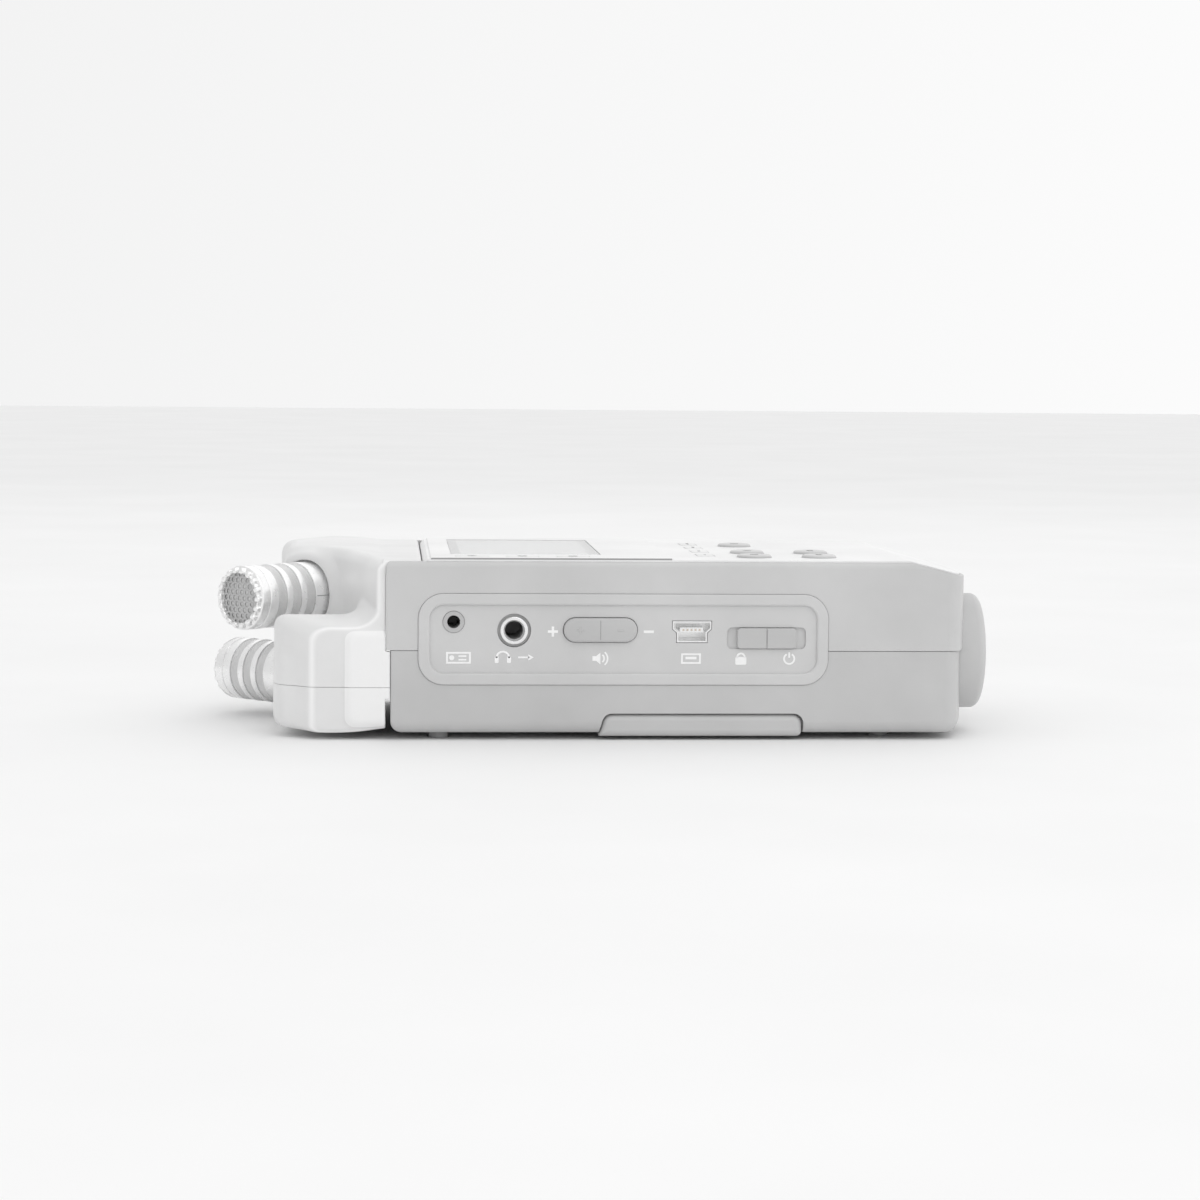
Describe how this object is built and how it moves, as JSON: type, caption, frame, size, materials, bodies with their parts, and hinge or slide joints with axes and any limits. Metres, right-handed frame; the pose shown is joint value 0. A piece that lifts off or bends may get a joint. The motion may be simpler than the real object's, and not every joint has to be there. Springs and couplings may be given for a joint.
{
  "type": "portable field recorder",
  "caption": "Handheld field recorder with crossed swivelling microphones, display, transport keys, side jacks, combo inputs and a battery bay.",
  "frame": {"origin": "on the table under the middle of the bounding box", "axes": "+X towards the input jacks, -X towards the microphones, -Y the side with the phones jack, +Z the display face"},
  "size_m": [0.1568, 0.0722, 0.0362],
  "materials": {
    "case_plastic": "moulded satin, fine spark texture",
    "panel_plastic": "smooth satin",
    "housing_plastic": "smooth satin",
    "side_plastic": "fine moulded texture",
    "key_plastic": "semi gloss",
    "control_plastic": "semi gloss",
    "mic_metal": "turned and plated, satin",
    "mic_crown": "polished",
    "mesh_metal": "woven mesh",
    "capsule_metal": "satin",
    "window_glass": "clear, glossy",
    "display_glass": "matte film",
    "jack_plastic": "satin",
    "plated_metal": "nickel plated",
    "collar_plastic": "satin",
    "rubber": "matte",
    "board": "solder mask",
    "silicone": "soft, matte",
    "cell_wrap": "printed sleeve, plain",
    "spring_steel": "plated",
    "screw_steel": "zinc plated",
    "insert_brass": "machined"
  },
  "bodies": {
    "case": {"upper_case": "case_plastic", "lower_case": "case_plastic", "front_panel": "panel_plastic", "display_window": "window_glass", "display_module": "display_glass", "key_mat": "silicone", "left_side_panel": "side_plastic", "right_side_panel": "side_plastic", "remote_jack": "jack_plastic", "phone_jack": "jack_plastic", "phone_jack_ring": "plated_metal", "usb_socket": "plated_metal", "wheel_encoder": "jack_plastic", "sd_socket": "plated_metal", "input_1_collar": "collar_plastic", "input_1_socket": "jack_plastic", "input_2_collar": "collar_plastic", "input_2_socket": "jack_plastic", "dc_jack": "jack_plastic", "strap_bar": "screw_steel", "main_board": "board", "jack_board": "board", "speaker": "jack_plastic", "external_mic_jack": "jack_plastic", "tripod_insert": "insert_brass", "batteries": "cell_wrap", "battery_contacts": "spring_steel", "battery_hinge_pins": "screw_steel", "screws": "screw_steel", "rubber_feet": "rubber", "mic_housing_upper": "housing_plastic", "mic_housing_lower": "housing_plastic"},
    "upper_mic": {"upper_mic_barrel": "mic_metal", "upper_mic_crown": "mic_crown", "upper_mic_mesh": "mesh_metal", "upper_mic_capsule": "capsule_metal"},
    "lower_mic": {"lower_mic_barrel": "mic_metal", "lower_mic_crown": "mic_crown", "lower_mic_mesh": "mesh_metal", "lower_mic_capsule": "capsule_metal"},
    "volume_rocker": {"volume_rocker": "control_plastic"},
    "level_rocker": {"level_rocker": "control_plastic"},
    "power_slide": {"power_slide": "control_plastic"},
    "menu_wheel": {"menu_wheel": "control_plastic"},
    "menu_key": {"menu_key": "control_plastic"},
    "sd_door": {"sd_door": "side_plastic"},
    "stamina_switch": {"stamina_switch": "control_plastic"},
    "battery_cover": {"battery_cover": "case_plastic"},
    "rewind_key": {"rewind_key": "key_plastic"},
    "play_key": {"play_key": "key_plastic"},
    "forward_key": {"forward_key": "key_plastic"},
    "stop_key": {"stop_key": "key_plastic"},
    "record_key": {"record_key": "key_plastic"},
    "track_1_key": {"track_1_key": "key_plastic"},
    "track_2_key": {"track_2_key": "key_plastic"},
    "track_3_key": {"track_3_key": "key_plastic"},
    "track_4_key": {"track_4_key": "key_plastic"},
    "mic_input_key": {"mic_input_key": "key_plastic"},
    "input_1_key": {"input_1_key": "key_plastic"},
    "input_2_key": {"input_2_key": "key_plastic"}
  },
  "joints": [
    {"name": "upper_mic_turn", "type": "hinge", "parent": "case", "child": "upper_mic", "pos_m": [-0.05769, -0.00154, 0.0264], "axis": [0.6088, 0.7934, 0], "range_deg": [0, 180]},
    {"name": "lower_mic_turn", "type": "hinge", "parent": "case", "child": "lower_mic", "pos_m": [-0.05984, 0.00275, 0.0092], "axis": [-0.6088, 0.7934, 0], "range_deg": [0, 180]},
    {"name": "volume_rock", "type": "hinge", "parent": "case", "child": "volume_rocker", "pos_m": [0.00011, -0.0335, 0.02183], "axis": [0, 0, 1], "range_deg": [-2, 2], "stiffness_Nm_per_rad": 0.05},
    {"name": "level_rock", "type": "hinge", "parent": "case", "child": "level_rocker", "pos_m": [-0.02205, 0.0335, 0.02183], "axis": [0, 0, 1], "range_deg": [-2, 2], "stiffness_Nm_per_rad": 0.05},
    {"name": "power_slide_travel", "type": "slide", "parent": "case", "child": "power_slide", "axis": [1, 0, 0], "range_m": [-0.0019, 0.0019]},
    {"name": "menu_wheel_spin", "type": "hinge", "parent": "case", "child": "menu_wheel", "pos_m": [-0.00205, 0.0296, 0.0214], "axis": [0, 0, 1], "continuous": true},
    {"name": "menu_key_press", "type": "slide", "parent": "case", "child": "menu_key", "axis": [0, -1, 0], "range_m": [0, 0.0005], "stiffness_N_per_m": 500},
    {"name": "sd_door_swing", "type": "hinge", "parent": "case", "child": "sd_door", "pos_m": [0.03025, 0.0342, 0.0185], "axis": [-1, 0, 0], "range_deg": [0, 100]},
    {"name": "stamina_travel", "type": "slide", "parent": "case", "child": "stamina_switch", "axis": [1, 0, 0], "range_m": [0, 0.0022]},
    {"name": "battery_cover_swing", "type": "hinge", "parent": "case", "child": "battery_cover", "pos_m": [0.03895, 0, 0.00185], "axis": [0, -1, 0], "range_deg": [0, 75]},
    {"name": "rewind_key_press", "type": "slide", "parent": "case", "child": "rewind_key", "axis": [0, 0, -1], "range_m": [0, 0.0005], "stiffness_N_per_m": 400},
    {"name": "play_key_press", "type": "slide", "parent": "case", "child": "play_key", "axis": [0, 0, -1], "range_m": [0, 0.0005], "stiffness_N_per_m": 400},
    {"name": "forward_key_press", "type": "slide", "parent": "case", "child": "forward_key", "axis": [0, 0, -1], "range_m": [0, 0.0005], "stiffness_N_per_m": 400},
    {"name": "stop_key_press", "type": "slide", "parent": "case", "child": "stop_key", "axis": [0, 0, -1], "range_m": [0, 0.0005], "stiffness_N_per_m": 400},
    {"name": "record_key_press", "type": "slide", "parent": "case", "child": "record_key", "axis": [0, 0, -1], "range_m": [0, 0.0005], "stiffness_N_per_m": 400},
    {"name": "track_1_key_press", "type": "slide", "parent": "case", "child": "track_1_key", "axis": [0, 0, -1], "range_m": [0, 0.0005], "stiffness_N_per_m": 400},
    {"name": "track_2_key_press", "type": "slide", "parent": "case", "child": "track_2_key", "axis": [0, 0, -1], "range_m": [0, 0.0005], "stiffness_N_per_m": 400},
    {"name": "track_3_key_press", "type": "slide", "parent": "case", "child": "track_3_key", "axis": [0, 0, -1], "range_m": [0, 0.0005], "stiffness_N_per_m": 400},
    {"name": "track_4_key_press", "type": "slide", "parent": "case", "child": "track_4_key", "axis": [0, 0, -1], "range_m": [0, 0.0005], "stiffness_N_per_m": 400},
    {"name": "mic_input_key_press", "type": "slide", "parent": "case", "child": "mic_input_key", "axis": [0, 0, -1], "range_m": [0, 0.0005], "stiffness_N_per_m": 400},
    {"name": "input_1_key_press", "type": "slide", "parent": "case", "child": "input_1_key", "axis": [0, 0, -1], "range_m": [0, 0.0005], "stiffness_N_per_m": 400},
    {"name": "input_2_key_press", "type": "slide", "parent": "case", "child": "input_2_key", "axis": [0, 0, -1], "range_m": [0, 0.0005], "stiffness_N_per_m": 400}
  ]
}
